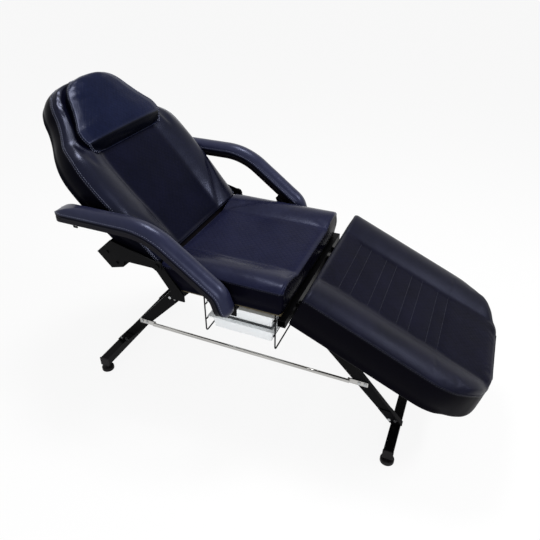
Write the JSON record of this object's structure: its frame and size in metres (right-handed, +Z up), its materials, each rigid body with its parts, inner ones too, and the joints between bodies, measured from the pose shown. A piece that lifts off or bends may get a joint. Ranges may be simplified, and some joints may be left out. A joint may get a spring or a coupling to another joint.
{
  "type": "tattoo chair",
  "caption": "Reclining tattoo and treatment chair with padded seat, backrest, leg rest, headrest pillow and curved armrests, and trays under the seat, on a black steel stand.",
  "frame": {"origin": "on the floor, under the middle of the whole chair", "axes": "+X towards the foot end, +Y towards the left side of a person lying on the chair, +Z up"},
  "size_m": [1.516, 0.732, 1.0485],
  "materials": {
    "vinyl": "soft grained artificial leather, satin",
    "plywood": "thin plywood, unpainted edge",
    "black_steel": "black powder coat",
    "chrome": "bright chromed rod",
    "zinc": "zinc plated fasteners",
    "glide_plastic": "moulded black plastic",
    "tray_plastic": "white moulded plastic"
  },
  "bodies": {
    "base": {"seat_cushion": "vinyl", "seat_board": "plywood", "cross_tube_rear": "black_steel", "cross_tube_front": "black_steel", "frame_rail_left": "black_steel", "frame_rail_right": "black_steel", "arm_cross_tubes": "black_steel", "leg_front_left": "black_steel", "leg_front_right": "black_steel", "leg_rear_left": "black_steel", "leg_rear_right": "black_steel", "foot_bar_front": "black_steel", "foot_bar_rear": "black_steel", "knee_plates": "black_steel", "foot_bar_caps": "glide_plastic", "foot_glides": "glide_plastic", "glide_stems": "zinc", "leg_tie_front": "black_steel", "leg_tie_rear": "black_steel", "side_rod_left": "chrome", "side_rod_right": "chrome", "leg_bolts": "zinc", "seat_hinge_plate_left": "black_steel", "seat_hinge_plate_right": "black_steel", "back_hinge_pins": "zinc", "legrest_ear_left": "black_steel", "legrest_ear_right": "black_steel", "legrest_pins": "zinc", "arm_pad_left": "vinyl", "arm_pad_right": "vinyl", "arm_core_left": "vinyl", "arm_core_right": "vinyl", "arm_bracket_left": "black_steel", "arm_bracket_right": "black_steel", "arm_fastenings": "zinc", "leg_brackets": "black_steel", "arm_hooks": "black_steel", "hanger_wire_front": "black_steel", "hanger_wire_rear": "black_steel", "tray_runners": "black_steel", "hanger_feet": "black_steel"},
    "backrest": {"back_cushion": "vinyl", "back_board": "plywood", "back_beam": "black_steel", "back_hinge_plate_left": "black_steel", "back_hinge_plate_right": "black_steel", "back_rail_left": "black_steel", "back_rail_right": "black_steel", "back_cross_tube": "black_steel", "beam_bolts": "zinc"},
    "pillow": {"headrest_pillow": "vinyl"},
    "legrest": {"legrest_cushion": "vinyl", "legrest_board": "plywood", "legrest_arm_left": "black_steel", "legrest_arm_right": "black_steel", "legrest_rail_left": "black_steel", "legrest_rail_right": "black_steel", "legrest_cross_tubes": "black_steel"},
    "lower_tray": {"tray_lower": "tray_plastic"},
    "upper_tray": {"tray_upper": "tray_plastic"}
  },
  "joints": [
    {"name": "backrest_tilt", "type": "hinge", "parent": "base", "child": "backrest", "pos_m": [-0.2691, 0, 0.571], "axis": [0, 1, 0], "range_deg": [-47.5, 27.5]},
    {"name": "legrest_tilt", "type": "hinge", "parent": "base", "child": "legrest", "pos_m": [0.1699, 0, 0.463], "axis": [0, 1, 0], "range_deg": [-24, 16]},
    {"name": "pillow_slide", "type": "slide", "parent": "backrest", "child": "pillow", "axis": [0.6756, 0, -0.7373], "range_m": [0, 0.08]},
    {"name": "lower_tray_slide", "type": "slide", "parent": "base", "child": "lower_tray", "axis": [0, -1, 0], "range_m": [-0.2, 0.2]},
    {"name": "upper_tray_slide", "type": "slide", "parent": "base", "child": "upper_tray", "axis": [0, -1, 0], "range_m": [-0.2, 0.2]}
  ]
}
